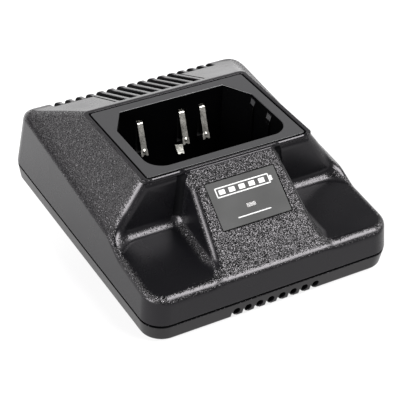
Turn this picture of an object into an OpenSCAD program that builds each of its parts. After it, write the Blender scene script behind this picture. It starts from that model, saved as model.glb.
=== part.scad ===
// Desktop charging cradle for a hand-held two-way radio.
// Millimetres. X to the right seen from the front, Y to the back, Z up.
// Origin: on the surface it stands on, under the middle of the case.

/* [Case] */
// Width of the case at the parting line
case_w = 112; // [110:1:114]
// Depth of the case at the parting line
case_d = 133; // [131:1:135]
// Height of the parting line above the table
seam_z = 9; // [8.5:0.5:10]
// Plan radius of the four upright corners
corner_r = 9; // [7:0.5:10]
// Wall thickness of the upper housing
wall_t = 2.4; // [2:0.1:2.8]
// Height of the front wall above the parting line
front_wall_h = 12; // [11:0.5:13]
// Rise of the deck toward the back, degrees
deck_angle = 5.5; // [5:0.1:6]
// Inward lean of the front and side walls, degrees
side_draft = 4.5; // [3.5:0.1:5]
// Forward lean of the rear wall, degrees
rear_draft = 10.7; // [9:0.1:12]
// Open joint between housing and bottom cover
seam_gap = 0.4; // [0.2:0.1:0.6]

/* [Tower] */
// Height of the rim above the table
rim_z = 48; // [47:0.5:49]
// Width of the insert's rim plate
rim_w = 73; // [72:0.5:73.5]
// Depth of the insert's rim plate
rim_d = 52; // [51.5:0.5:52.5]
// Width of the raised lip round the rim at the sides and back
lip_w = 2.2; // [1.8:0.1:2.4]
// Width of the raised lip at the front
lip_front = 1.4; // [1.2:0.1:1.6]
// Distance from the front of the case to the scoops' upright wall
scoop_y = 38; // [37:0.5:38.5]
// Slope of the rear shelf, degrees
shelf_angle = 23.4; // [22:0.1:24]
// Rounding where the shelf turns down into the rear wall
shelf_r = 6; // [5:0.5:9]

/* [Radio pocket] */
// Width of the pocket's mouth
mouth_w = 63.8; // [63:0.1:64.2]
// Depth of the pocket's mouth, front to back
mouth_d = 42.8; // [42:0.1:43]
// Radius of the pocket's front corners
mouth_r = 8; // [6:0.5:9]
// Height of the pocket's floor above the table
pocket_floor_z = 13.5; // [13:0.5:15]
// Thickness of the pocket's walls
cup_t = 1.6; // [1.4:0.1:1.7]

/* [Ramp and label] */
// Half width of the centre ramp along its upper edges
ramp_half = 21.3; // [20.5:0.1:22]
// Half width of the centre ramp at its foot
ramp_foot_half = 24.4; // [24:0.1:25]
// Slope of the ramp, degrees
ramp_angle = 37; // [36:0.5:37.5]
// Width of the label plate
label_w = 31.4; // [30:0.2:32]
// Length of the label plate along the slope
label_h = 19.8; // [19:0.2:20]
// Place of the indicator window along the ramp, from the middle of the label
window_ly = -2.8; // [-3:0.1:0]

/* [Grille] */
// Spacing of the ribs on the shelf and rear wall
rib_pitch = 5; // [4.9:0.05:5.1]
// Width of each slot between ribs
slot_w = 2.2; // [1.8:0.1:2.6]
// Number of slots in the rear wall, an even number
rear_slots = 16; // [12:2:16]
// Number of slots that run up over the shelf, an even number
shelf_slots = 8; // [6:2:8]
// Number of round vents in the front of the bottom cover, an even number
front_vents = 8; // [6:2:8]
// Spacing of the front vents
vent_pitch = 5.23; // [5.1:0.01:5.3]
// Bore of a front vent
vent_d = 2.8; // [2.6:0.1:3]
// Sideways place of the middle of the vent row
vent_x = 0.65; // [0.3:0.05:1]
// Height of the front vents
vent_z = 3.95; // [3.8:0.05:4.1]

/* [Contacts] */
// Sideways places of the three tall contact blades
contact_x = [-15, 5, 15];
// Sideways place of the short contact
short_x = 0.4; // [0:0.1:0.6]
// Width of a tall blade
blade_w = 2.6; // [2.2:0.1:3]
// Thickness of the contact strip
strip_t = 0.4; // [0.3:0.05:0.45]
// Forward lean of the blades when nothing is in the pocket, degrees
blade_lean = 20; // [18:1:21]

/* [Feet and screws] */
// Diameter of a rubber foot
foot_d = 11; // [9:0.5:12]
// Thread diameter of the case screws
screw_d = 3; // [2.6:0.1:3]

/* [Hidden] */
$fn = 48;
eps = 0.01;
hw = case_w / 2;
hd = case_d / 2;
td = tan(side_draft);
tr = tan(rear_draft);
tdeck = tan(deck_angle);
tshelf = tan(shelf_angle);
tramp = tan(ramp_angle);
cover_z = 1.5;                       // underside of the bottom cover
rim_cy = 0.15;                       // middle of the rim, front to back
rim_f = rim_cy - rim_d / 2;          // front edge of the rim plate
rim_b = rim_cy + rim_d / 2;
lip_f = rim_f - lip_front;
lip_b = rim_b + lip_w;
lip_x = rim_w / 2 + lip_w;
plate_t = 2.1;                       // rim plate thickness
ledge_z = rim_z - plate_t - 2.4;     // underside of the ledge the rim plate sits on
slope_top = rim_z - 0.8;             // where the slopes meet the lip
shelf_top = rim_z - 0.1;             // the shelf's plane at the back of the lip
mouth_f = -21.3;
mouth_b = mouth_f + mouth_d;
bevel_x = 7.2;
bevel_y = 12;
board_z = 7;
board_t = 1.6;
board_top = board_z + board_t;
cover_floor = 3.6;
post_x = 47.6;
post_yf = -38;
post_yr = 43;
boss_xy = [[-37, -50], [37, -50], [-37, 52], [37, 52]];
jack_x = 28;
jack_z = 15.2;
foot_xy = [[-44, -55], [44, -55], [-44, 55], [44, 55]];
blade_axis_y = mouth_b + 0.5;
blade_axis_z = 40.3;
blade_len = 14.6;
label_cy = -42.1;                    // middle of the label
ramp_foot_z = seam_z + front_wall_h + 0.3;
ramp_foot_y = -hd + 2.6;
function deck(y) = seam_z + front_wall_h + tdeck * (y + hd);
function wall_x(z) = hw - td * (z - seam_z);
function wall_yf(z) = -hd + td * (z - seam_z);
function wall_yr(z) = hd - tr * (z - seam_z);
function shelf(y) = shelf_top - tshelf * (y - lip_b);
function ramp_z(y) = ramp_foot_z + tramp * (y - ramp_foot_y);
// where the shelf's plane meets the rear wall's plane
edge_y = (hd + tr * seam_z - tr * (shelf_top + tshelf * lip_b)) / (1 - tr * tshelf);
edge_z = shelf(edge_y);
half_turn = (90 - rear_draft - shelf_angle) / 2;
edge_t = shelf_r * tan(half_turn);
// centre of the rounding between shelf and rear wall
round_y = edge_y - edge_t * cos(shelf_angle) - shelf_r * sin(shelf_angle);
round_z = edge_z + edge_t * sin(shelf_angle) - shelf_r * cos(shelf_angle);

// ---------- helpers ----------

module disc(x, y, z, r, h = 0.02) {
    translate([x, y, z - h]) cylinder(r = r, h = h, $fn = 32);
}

module rounded2d(x0, x1, y0, y1, r) {
    union() {
        translate([x0 + r, y0]) square([x1 - x0 - 2 * r, y1 - y0]);
        translate([x0, y0 + r]) square([x1 - x0, y1 - y0 - 2 * r]);
        for (x = [x0 + r, x1 - r], y = [y0 + r, y1 - r])
            translate([x, y]) circle(r = r, $fn = 32);
    }
}

// outline of the pocket, grown outward by o
module mouth2d(o = 0) {
    w = mouth_w / 2 + o;
    f = mouth_f - o;
    b = mouth_b + o;
    r = mouth_r + o;
    bx = bevel_x + 0.35 * o;
    by = bevel_y + 0.35 * o;
    union() {
        polygon([[-w, f + r], [w, f + r], [w, b - by], [w - bx, b], [-w + bx, b], [-w, b - by]]);
        translate([-w + r, f]) square([2 * (w - r), r + 1]);
        for (s = [-1, 1]) translate([s * (w - r), f + r]) circle(r = r, $fn = 48);
    }
}

module pan_screw(d, head_d, head_h, len) {
    difference() {
        union() {
            cylinder(d = head_d, h = head_h, $fn = 32);
            translate([0, 0, -len]) cylinder(d = d, h = len + 0.1, $fn = 24);
        }
        for (a = [0, 90]) rotate([0, 0, a])
            translate([-head_d * 0.3, -0.35, head_h * 0.45]) cube([head_d * 0.6, 0.7, head_h]);
    }
}

// ---------- upper housing ----------

// rear part of the case: walls, side slopes and rear shelf, shrunk by t
module rear_body(t, top, floor_z) {
    sx = lip_x - t * 0.6;
    hull() {
        // lower edge
        for (s = [-1, 1]) {
            translate([s * (wall_x(floor_z) - t - 0.5) - 0.5, -hd + scoop_y + t, floor_z]) cube([1, 1, 0.02]);
            disc(s * (wall_x(floor_z) - corner_r), wall_yr(floor_z) - corner_r, floor_z, corner_r - t);
        }
        // top of the side walls
        for (s = [-1, 1]) {
            translate([s * (wall_x(24.6) - t - 0.5) - 0.5, -hd + scoop_y + t, deck(-hd + scoop_y) - t * 0.45 - 0.02]) cube([1, 1, 0.02]);
            disc(s * (wall_x(32) - corner_r), wall_yr(29) - corner_r, 31.8 - t * 0.5, corner_r - t);
        }
        // rounded rear edge
        for (a = [shelf_angle : (90 - rear_draft - shelf_angle) / 4 : 90 - rear_draft + 0.1], s = [-1, 1])
            translate([s * (42 - t * 0.5) - 0.5, round_y + (shelf_r - t) * sin(a) - 0.02, round_z + (shelf_r - t) * cos(a) - 0.02])
                cube([1, 0.02, 0.02]);
        // plateau under the lip
        for (s = [-1, 1]) {
            if (t == 0) {
                disc(s * (sx - 2), lip_f + 1, top, 1);
                disc(s * (sx - 2), lip_b - 2, top, 2);
                translate([s * (sx - 0.5) - 0.5, lip_f + 1, top - 0.02]) cube([1, lip_b - lip_f - 4, 0.02]);
            } else {
                xt = lip_x + (slope_top - top) * 0.98 - t * 1.4;
                yt = lip_b + (shelf_top - top) / tshelf - t * 2.5;
                translate([s * (xt - 0.5) - 0.5, lip_f + t, top - 0.02]) cube([1, 1, 0.02]);
                translate([s * (xt - 4.5) - 0.5, yt - 1, top - 0.02]) cube([1, 1, 0.02]);
            }
        }
    }
}

// low front part of the case under the scoops, shrunk by t
module front_body(t, floor_z) {
    hull() for (s = [-1, 1]) {
        disc(s * (wall_x(floor_z) - corner_r), wall_yf(floor_z) + corner_r, floor_z + 0.02, corner_r - t);
        disc(s * (wall_x(19) - corner_r), wall_yf(19) + corner_r, 18.8 - t, corner_r - t);
        disc(s * (wall_x(20) - corner_r - 0.6), wall_yf(20) + corner_r + 0.6, 20.6 - t, corner_r - t - 1.2);
        disc(s * (wall_x(20) - corner_r - 1.4), wall_yf(20) + corner_r + 1.6, 21.3 - t, corner_r - t - 1.2);
        translate([s * (wall_x(floor_z) - t - 0.5) - 0.5, -hd + scoop_y + 3, floor_z]) cube([1, 0.5, 0.02]);
        translate([s * (wall_x(22) - t - 0.5) - 0.5, -hd + scoop_y + 3, deck(-hd + scoop_y) - 2.6 - t]) cube([1, 0.5, 0.02]);
        translate([s * (wall_x(22) - t - 2.5) - 0.5, -hd + scoop_y + 3, deck(-hd + scoop_y) - 0.1 - t]) cube([1, 0.5, 0.02]);
    }
}

// ramp between the scoops, shrunk by t
module ramp_body(t, back_y, low_z) {
    hull() for (s = [-1, 1]) {
        translate([s * (ramp_half - t - 0.5) - 0.5, ramp_foot_y + t * 2.2, ramp_foot_z - 0.02 - t * 0.4]) cube([1, 0.02, 0.02]);
        translate([s * (ramp_half - t - 0.5) - 0.5, -33, ramp_z(-33) - 0.02 - t * 1.25]) cube([1, 0.02, 0.02]);
        translate([s * (ramp_half - t - 0.5) - 0.5, back_y, min(slope_top, ramp_z(-33) + (back_y + 33) * 0.36) - 0.02 - t * 1.2]) cube([1, 0.02, 0.02]);
        translate([s * (ramp_foot_half - t - 0.5) - 0.5, ramp_foot_y + 1 + t * 2.2, low_z]) cube([1, 0.02, 0.02]);
        translate([s * (ramp_foot_half - t - 0.5) - 0.5, back_y, low_z]) cube([1, 0.02, 0.02]);
        translate([s * (ramp_foot_half - t - 0.5) - 0.5, -hd + scoop_y, deck(-hd + scoop_y) - t]) cube([1, 0.02, 0.02]);
        translate([s * (ramp_foot_half - t - 0.5) - 0.5, ramp_foot_y + 1 + t * 2.2, deck(ramp_foot_y) - t]) cube([1, 0.02, 0.02]);
    }
}

module on_ramp(y) {
    translate([0, y, ramp_z(y)]) rotate([ramp_angle, 0, 0]) children();
}

module grille_cuts() {
    // slots in the rear wall
    for (i = [0 : rear_slots - 1]) {
        x = (i - (rear_slots - 1) / 2) * rib_pitch;
        translate([x - slot_w / 2, 52.4, 21]) cube([slot_w, 16, 15.5]);
    }
    // slots that run on over the shelf
    for (i = [0 : shelf_slots - 1]) {
        x = (i - (shelf_slots - 1) / 2) * rib_pitch;
        translate([x - slot_w / 2, lip_b + 3.6, 32]) cube([slot_w, 52.6 - lip_b - 3.6, 16]);
    }
    // thin grooves either side of the shelf slots
    for (s = [-1, 1])
        translate([s * 21.5 - 0.25, lip_b + 3, shelf(lip_b + 3)])
            rotate([-shelf_angle, 0, 0]) translate([0, 0, -0.6]) cube([0.5, 24.3, 2]);
}

module screw_post(x, y, top) {
    translate([x, y, seam_z - 0.6]) difference() {
        cylinder(d = 7, h = top - seam_z + 0.6, $fn = 32);
        translate([0, 0, -1]) cylinder(d = screw_d + 0.04, h = 9.6, $fn = 32);
    }
}

module upper_housing() {
    color([0.17, 0.17, 0.18])
    difference() {
        union() {
            difference() {
                union() {
                    rear_body(0, slope_top, seam_z + seam_gap);
                    front_body(0, seam_z + seam_gap);
                    ramp_body(0, lip_f + 1.2, 18);
                    // lip round the rim
                    translate([0, 0, ledge_z + 1]) linear_extrude(rim_z - ledge_z - 1)
                        rounded2d(-lip_x, lip_x, lip_f, lip_b, 1.6);
                }
                rear_body(wall_t, ledge_z, seam_z - 0.5);
                front_body(wall_t, seam_z - 0.5);
                ramp_body(wall_t, lip_f + 4, 17);
                // open underside, where the inner corners meet
                translate([-hw + wall_t + 3, -hd + 12, seam_z - 1]) cube([case_w - 2 * wall_t - 6, case_d - 24, 8]);
            }
            // posts for the case screws
            for (s = [-1, 1]) {
                screw_post(s * post_x, post_yf, deck(post_yf) - 1);
                screw_post(s * post_x, post_yr, 34);
            }
        }
        // seat of the rim plate, and the hole the pocket passes through
        translate([0, 0, rim_z - plate_t - 0.1]) linear_extrude(5)
            rounded2d(-rim_w / 2, rim_w / 2, rim_f, rim_b, 1.4);
        translate([0, 0, ledge_z - 3]) linear_extrude(8) mouth2d(cup_t + 0.25);
        // label recess and window opening in the ramp
        on_ramp(label_cy) {
            translate([-label_w / 2 - 0.3, -label_h / 2 - 0.3, -0.9]) cube([label_w + 0.6, label_h + 0.6, 4]);
            translate([-2.5, window_ly - 1.7, -6]) cube([5, 3.4, 8]);
        }
        grille_cuts();
        // DC inlet opening
        translate([jack_x, hd - 8, jack_z]) rotate([-90, 0, 0]) cylinder(d = 9.2, h = 12, $fn = 48);
    }
}

// ---------- bottom cover ----------

module bottom_cover() {
    color([0.15, 0.15, 0.16])
    difference() {
        union() {
            difference() {
                union() {
                    hull() for (x = [-1, 1], y = [-1, 1]) {
                        disc(x * (hw - corner_r), y * (hd - corner_r), seam_z, corner_r - 0.1);
                        disc(x * (hw - corner_r), y * (hd - corner_r), 3.4, corner_r - 0.8);
                        disc(x * (hw - corner_r), y * (hd - corner_r), 2.1, corner_r - 1.3);
                        disc(x * (hw - corner_r), y * (hd - corner_r), cover_z + 0.02, corner_r - 2.3);
                    }
                    // tongue that closes the joint from inside
                    translate([0, 0, 4]) linear_extrude(seam_z + 0.9 - 4)
                        rounded2d(-hw + wall_t + 0.7, hw - wall_t - 0.7, -hd + wall_t + 0.7, hd - wall_t - 0.9, corner_r - wall_t - 0.4);
                }
                translate([0, 0, cover_floor]) linear_extrude(10)
                    rounded2d(-hw + wall_t + 1.9, hw - wall_t - 1.9, -hd + wall_t + 1.9, hd - wall_t - 2.1, corner_r - wall_t - 1.4);
            }
            // board bosses
            for (p = boss_xy) translate([p[0], p[1], cover_floor - 0.5])
                cylinder(d = 6.4, h = board_z - cover_floor + 0.5, $fn = 32);
            // case screw bosses
            for (s = [-1, 1], y = [post_yf, post_yr]) translate([s * post_x, y, cover_floor - 0.5])
                cylinder(d = 8, h = seam_z - 0.7 - cover_floor + 0.5, $fn = 32);
        }
        // pilot bores of the board bosses
        for (p = boss_xy) translate([p[0], p[1], 2.6]) cylinder(d = 2.54, h = 6, $fn = 32);
        // counterbored case screw holes
        for (s = [-1, 1], y = [post_yf, post_yr]) translate([s * post_x, y, 0]) {
            cylinder(d = screw_d + 0.3, h = 20, $fn = 32);
            cylinder(d = 6.4, h = 4.6, $fn = 32);
        }
        // round front vents, each with a small wedge notch beside it in the bottom edge
        for (i = [0 : front_vents - 1]) {
            x = vent_x + (i - (front_vents - 1) / 2) * vent_pitch;
            translate([x, -hd - 1, vent_z]) rotate([-90, 0, 0]) cylinder(d = vent_d, h = 8, $fn = 32);
            translate([x - 1.98, -hd + 2, 0]) rotate([90, 0, 0]) linear_extrude(4)
                polygon([[-1.7, 0.2], [1.7, 0.2], [0, 3.8]]);
        }
        // seats of the rubber feet
        for (p = foot_xy) translate([p[0], p[1], 0]) cylinder(d = foot_d + 0.2, h = 2.3, $fn = 48);
        // plain recess for a rating label, left bare
        translate([-25, -18, 0]) cube([50, 30, cover_z + 0.4]);
    }
}

// ---------- pocket ----------

// upright rib with a sloping lead-in at its top
module guide_rib(at, turn) {
    translate([at[0], at[1], pocket_floor_z - 1]) rotate([0, 0, turn]) rotate([90, 0, 90]) translate([0, 0, -1.6])
        linear_extrude(3.2) polygon([[-1, 0], [1.1, 0], [1.1, 29], [0, 33.4], [-1, 33.4]]);
}

module pocket_insert() {
    color([0.2, 0.2, 0.21])
    difference() {
        union() {
            // rim plate
            translate([0, 0, rim_z - plate_t]) linear_extrude(plate_t)
                rounded2d(-rim_w / 2 + 0.3, rim_w / 2 - 0.3, rim_f + 0.3, rim_b - 0.3, 1.2);
            // cup
            translate([0, 0, pocket_floor_z - cup_t]) linear_extrude(rim_z - plate_t - pocket_floor_z + cup_t + 0.5)
                mouth2d(cup_t);
            // snap wedges under the ledge
            for (s = [-1, 1], y = [-9, 4]) translate([s * (mouth_w / 2 + cup_t - 0.2), y, ledge_z - 4.2])
                rotate([0, 0, s > 0 ? 0 : 180]) translate([0, -2.5, 0])
                    rotate([90, 0, 0]) translate([0, 0, -5])
                        linear_extrude(5) polygon([[0, 0], [1, 3.6], [1, 4], [0, 4]]);
        }
        // the pocket itself, less its guide ribs
        difference() {
            translate([0, 0, pocket_floor_z]) linear_extrude(60) mouth2d(0);
            for (s = [0, 1], y = [-4.9, 8]) mirror([s, 0, 0]) guide_rib([mouth_w / 2, y], 90);
            for (x = [-12, 12]) guide_rib([x, mouth_f], 0);
        }
        // slots for the three blades
        for (x = contact_x) translate([x - 2.1, mouth_b - 1, 24]) cube([4.2, 5, 18]);
        // floor slot for the short contact
        translate([short_x - 2, 11.6, pocket_floor_z - 5]) cube([4, 5, 10]);
    }
}

// ---------- label and indicator ----------

module label_plate() {
    color([0.42, 0.42, 0.42])
    on_ramp(label_cy) difference() {
        translate([-label_w / 2, -label_h / 2, -0.85]) cube([label_w, label_h, 0.6]);
        translate([-2.3, window_ly - 1.5, -3]) cube([4.6, 3.0, 6]);
    }
}

module indicator_window() {
    color([0.75, 0.72, 0.72])
    on_ramp(label_cy) union() {
        translate([-2.2, window_ly - 1.4, -8.2]) cube([4.4, 2.8, 8]);
        translate([-3.2, window_ly - 2.4, -4.4]) cube([6.4, 4.8, 1.1]);
    }
}

module indicator_led() {
    color([0.75, 0.1, 0.08])
    translate([0, -38.7, 0]) union() {
        translate([0, 0, 17.2]) cylinder(d = 5, h = 5.2, $fn = 32);
        translate([0, 0, 22.4]) sphere(d = 5, $fn = 32);
        translate([0, 0, 16.4]) cylinder(d = 5.8, h = 1, $fn = 32);
        for (s = [-1, 1]) translate([s * 1.27 - 0.25, -0.25, board_top]) cube([0.5, 0.5, 8]);
    }
}

// ---------- contacts ----------

// a tall blade hanging from its bend, in its own plane: X across, Z up the strip
module blade(w) {
    translate([0, blade_axis_y, blade_axis_z]) rotate([-blade_lean, 0, 0]) union() {
        rotate([0, 90, 0]) cylinder(r = 0.5, h = w, center = true, $fn = 32);
        translate([-w / 2, -strip_t / 2, -blade_len + 3]) cube([w, strip_t, blade_len - 3]);
        // wider foot with a fork
        difference() {
            translate([-w / 2 - 0.35, -strip_t / 2, -blade_len]) cube([w + 0.7, strip_t, 3.2]);
            translate([0, 0, -blade_len]) rotate([90, 0, 0]) cylinder(d = 1.3, h = 4, center = true, $fn = 32);
        }
        // contact dimple
        translate([0, -0.1, -blade_len + 2.2]) rotate([90, 0, 0]) cylinder(r1 = 0.75, r2 = 0.35, h = 0.65, $fn = 32);
    }
}

module contact_left() { color([0.8, 0.78, 0.74]) translate([contact_x[0], 0, 0]) blade(blade_w); }
module contact_center() { color([0.8, 0.78, 0.74]) translate([contact_x[1], 0, 0]) blade(blade_w); }
module contact_right() { color([0.8, 0.78, 0.74]) translate([contact_x[2], 0, 0]) blade(blade_w); }

// short contact standing up from the pocket's floor
module contact_short() {
    color([0.8, 0.78, 0.74])
    translate([short_x, 13.9, pocket_floor_z - 0.6]) union() {
        rotate([0, 90, 0]) cylinder(r = 0.5, h = 3, center = true, $fn = 32);
        translate([-1.3, -strip_t / 2, 0]) cube([2.6, strip_t, 8.5]);
        // forward-facing head, hollow toward the front
        translate([-1.65, -9.1, 11.0]) rotate([0, 90, 0]) difference() {
            translate([0, 0, 0]) cylinder(r = 9.6, h = 3.3, $fn = 96);
            translate([0, 0, -1]) cylinder(r = 9.6 - strip_t, h = 6, $fn = 96);
            translate([-20, -20, -1]) cube([40, 28.2, 6]);
            translate([2.9, -20, -1]) cube([20, 40, 6]);
        }
    }
}

// fixed half of each contact: tab at the bend, tail down the back of the carrier
module contact_terminals() {
    color([0.8, 0.78, 0.74]) {
        for (x = contact_x) translate([x, 0, 0]) union() {
            translate([-blade_w / 2, blade_axis_y + 0.8, blade_axis_z - strip_t / 2]) cube([blade_w, 28.4 - blade_axis_y - 0.8, strip_t]);
            translate([-blade_w / 2, 28, 24]) cube([blade_w, strip_t, blade_axis_z - 24 + strip_t / 2]);
        }
        // tail of the short contact, under the pocket
        translate([short_x - 1.3, 13.9 - strip_t / 2, board_top]) cube([2.6, strip_t, 3.2]);
    }
}

module contact_carrier() {
    color([0.1, 0.1, 0.11])
    difference() {
        translate([-20, mouth_b + cup_t + 0.1, 23]) cube([40, 28 - mouth_b - cup_t - 0.1, 19.6]);
        // room for the blades and their tabs
        for (x = contact_x) {
            translate([x - 2, mouth_b, 24]) cube([4, 4, 16.1]);
            translate([x - blade_w / 2 - 0.02, mouth_b, blade_axis_z - strip_t / 2 - 0.02]) cube([blade_w + 0.04, 12, strip_t + 0.04]);
        }
    }
}

module contact_wires() {
    color([0.7, 0.1, 0.1])
    for (x = contact_x) translate([x, 29.1, 15]) cylinder(d = 1.4, h = 12, $fn = 24);
}

module wire_plug() {
    color([0.9, 0.9, 0.86])
    difference() {
        translate([-18, 26.6, 11.4]) cube([36, 5.2, 4.6]);
        for (x = contact_x) translate([x, 29.1, 15]) cylinder(d = 1.44, h = 12, $fn = 24);
    }
}

module wire_socket() {
    color([0.92, 0.92, 0.88])
    difference() {
        translate([-19.5, 25.4, board_top]) cube([39, 7.6, 5.6]);
        translate([-18.1, 26.5, 11.4]) cube([36.2, 5.4, 10]);
    }
}

// ---------- electronics ----------

module main_board() {
    color([0.1, 0.3, 0.14])
    difference() {
        translate([-42, -58, board_z]) cube([84, 116, board_t]);
        for (p = boss_xy) translate([p[0], p[1], board_z - 1]) cylinder(d = 2.9, h = 4, $fn = 32);
    }
}

module dc_inlet_body() {
    color([0.08, 0.08, 0.09])
    translate([jack_x, 0, jack_z]) difference() {
        union() {
            translate([-4.5, 49, board_top - jack_z]) cube([9, 12.6, 11.5]);
            translate([0, 61.5, 0]) rotate([-90, 0, 0]) cylinder(d = 8.6, h = 2.6, $fn = 48);
        }
        translate([0, 51, 0]) rotate([-90, 0, 0]) cylinder(d = 6.2, h = 20, $fn = 48);
    }
}

module dc_inlet_pin() {
    color([0.8, 0.78, 0.7])
    translate([jack_x, 51, jack_z]) rotate([-90, 0, 0]) cylinder(d = 2, h = 11, $fn = 32);
}

module heat_sink() {
    color([0.75, 0.76, 0.78])
    difference() {
        translate([-40, 36, board_top]) union() {
            cube([30, 2.4, 18]);
            for (i = [0 : 5]) translate([i * 5.6, 2.3, 0]) cube([2, 8.2, 18]);
        }
        translate([-25, 30, 22.6]) rotate([-90, 0, 0]) cylinder(d = 3.04, h = 8.4, $fn = 32);
    }
}

module power_transistor() {
    color([0.07, 0.07, 0.08])
    difference() {
        translate([-30, 0, 0]) union() {
            translate([0, 34.6, 11.4]) cube([10, 1.4, 14]);
            translate([0, 31.6, 11.4]) cube([10, 3.05, 8]);
            for (i = [0 : 2]) translate([2.1 + i * 2.54, 33.2, board_top]) cube([0.7, 0.5, 3]);
        }
        translate([-25, 30, 22.6]) rotate([-90, 0, 0]) cylinder(d = 3.3, h = 7, $fn = 32);
    }
}

module transistor_screw() {
    color([0.7, 0.7, 0.72])
    translate([-25, 34.6, 22.6]) rotate([90, 0, 0]) pan_screw(3, 5.6, 2.2, 3.6);
}

module filter_capacitor() {
    color([0.1, 0.12, 0.2])
    translate([9, 42, board_top]) difference() {
        cylinder(d = 13, h = 21, $fn = 64);
        for (a = [0, 60, 120]) rotate([0, 0, a]) translate([-4.5, -0.25, 20.7]) cube([9, 0.5, 1]);
    }
}

module output_capacitor() {
    color([0.1, 0.12, 0.2])
    translate([22, -38, board_top]) difference() {
        cylinder(d = 8, h = 11.5, $fn = 48);
        for (a = [0, 90]) rotate([0, 0, a]) translate([-2.8, -0.25, 11.2]) cube([5.6, 0.5, 1]);
    }
}

module choke_core() {
    color([0.25, 0.3, 0.2])
    translate([30, 38, board_top + 0.9]) difference() {
        cylinder(d = 15, h = 6.5, $fn = 64);
        translate([0, 0, -1]) cylinder(d = 7, h = 10, $fn = 48);
    }
}

module choke_winding() {
    color([0.72, 0.4, 0.2])
    translate([30, 38, 0]) for (i = [0 : 9]) rotate([0, 0, i * 36]) difference() {
        translate([2.6, -0.55, board_top]) cube([5.8, 1.1, 8.3]);
        translate([3.45, -1, board_top + 0.85]) cube([4.1, 2, 6.6]);
    }
}

module control_chip() {
    color([0.06, 0.06, 0.07])
    translate([-30, -45, board_top]) difference() {
        union() {
            translate([0, 0, 1]) cube([19.2, 6.4, 3.4]);
            for (i = [0 : 6], s = [0, 1]) translate([1.4 + i * 2.54, s ? 6.35 : -0.65, 0]) cube([1.2, 0.7, 2.6]);
        }
        translate([0, 3.2, 3.9]) cylinder(d = 2, h = 3, $fn = 32);
    }
}

module power_resistor() {
    color([0.85, 0.85, 0.8])
    translate([10, -52, board_top]) cube([16, 5.4, 6]);
}

module small_resistors() {
    color([0.8, 0.68, 0.5])
    for (i = [0 : 4]) translate([-30 + i * 5, -28.5, board_top + 1.15]) rotate([90, 0, 0])
        cylinder(d = 2.3, h = 6.5, $fn = 24);
}

module rectifier_diodes() {
    color([0.06, 0.06, 0.07])
    for (i = [0 : 1]) translate([28, -42 + i * 7, board_top + 2.7]) rotate([0, 90, 0])
        cylinder(d = 5.4, h = 9, $fn = 32);
}

module fuse_tube() {
    color([0.8, 0.85, 0.85])
    translate([-14.6, 52, board_top + 4.1]) rotate([0, 90, 0]) cylinder(d = 5, h = 20, $fn = 32);
}

module fuse_clips() {
    color([0.78, 0.76, 0.7])
    for (x = [-13.4, 0.2]) translate([x, 52, board_top]) difference() {
        translate([0, -3.6, 0]) cube([4, 7.2, 7]);
        translate([-1, 0, 4.1]) rotate([0, 90, 0]) cylinder(d = 5.04, h = 8, $fn = 32);
        translate([-1, -1.9, 4.1]) cube([8, 3.8, 6]);
    }
}

// ---------- feet and screws ----------

module rubber_feet() {
    color([0.08, 0.08, 0.08])
    for (p = foot_xy) translate([p[0], p[1], 0]) difference() {
        union() {
            cylinder(d = foot_d, h = 2.3, $fn = 48);
        }
        translate([0, 0, -1]) cylinder(d = 3, h = 1.6, $fn = 32);
    }
}

module case_screws() {
    color([0.6, 0.6, 0.62])
    for (s = [-1, 1], y = [post_yf, post_yr]) translate([s * post_x, y, 4.6]) rotate([180, 0, 0])
        pan_screw(screw_d, 5.8, 2, 11.5);
}

module board_screws() {
    color([0.75, 0.75, 0.76])
    for (p = boss_xy) translate([p[0], p[1], board_top]) pan_screw(2.5, 5, 1.8, 5.4);
}

upper_housing();
bottom_cover();
pocket_insert();
label_plate();
indicator_window();
indicator_led();
contact_left();
contact_center();
contact_right();
contact_short();
contact_terminals();
contact_carrier();
contact_wires();
wire_plug();
wire_socket();
main_board();
dc_inlet_body();
dc_inlet_pin();
heat_sink();
power_transistor();
transistor_screw();
filter_capacitor();
output_capacitor();
choke_core();
choke_winding();
control_chip();
power_resistor();
small_resistors();
rectifier_diodes();
fuse_tube();
fuse_clips();
rubber_feet();
case_screws();
board_screws();
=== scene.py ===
import math
import bpy
import bmesh
import numpy as np
from mathutils import Matrix, Vector


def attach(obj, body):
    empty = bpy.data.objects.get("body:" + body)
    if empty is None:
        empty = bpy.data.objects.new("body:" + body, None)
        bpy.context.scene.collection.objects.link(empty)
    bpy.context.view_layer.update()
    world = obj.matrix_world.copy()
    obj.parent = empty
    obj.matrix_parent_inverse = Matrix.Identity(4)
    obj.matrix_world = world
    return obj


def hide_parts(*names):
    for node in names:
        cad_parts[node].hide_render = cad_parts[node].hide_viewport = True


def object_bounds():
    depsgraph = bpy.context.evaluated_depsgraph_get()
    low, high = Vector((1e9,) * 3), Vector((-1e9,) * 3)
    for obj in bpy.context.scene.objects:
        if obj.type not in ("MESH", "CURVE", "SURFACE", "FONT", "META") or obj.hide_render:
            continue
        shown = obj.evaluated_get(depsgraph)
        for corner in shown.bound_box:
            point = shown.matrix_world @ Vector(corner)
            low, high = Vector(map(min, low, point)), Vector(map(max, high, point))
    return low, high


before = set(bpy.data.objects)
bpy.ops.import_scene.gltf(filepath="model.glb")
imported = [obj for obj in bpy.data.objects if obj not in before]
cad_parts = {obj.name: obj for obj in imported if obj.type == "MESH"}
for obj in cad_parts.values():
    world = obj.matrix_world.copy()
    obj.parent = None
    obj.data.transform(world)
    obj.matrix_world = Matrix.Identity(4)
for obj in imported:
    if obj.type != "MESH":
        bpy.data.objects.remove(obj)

cad_box = [[float(v) for v in c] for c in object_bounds()]
scene = bpy.context.scene
MM = 0.001

# ---------------------------------------------------------------- distance fields, millimetres

def smax(a, b, r):
    return np.minimum(-r, np.maximum(a, b)) + np.sqrt(np.maximum(a + r, 0) ** 2 + np.maximum(b + r, 0) ** 2)


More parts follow.
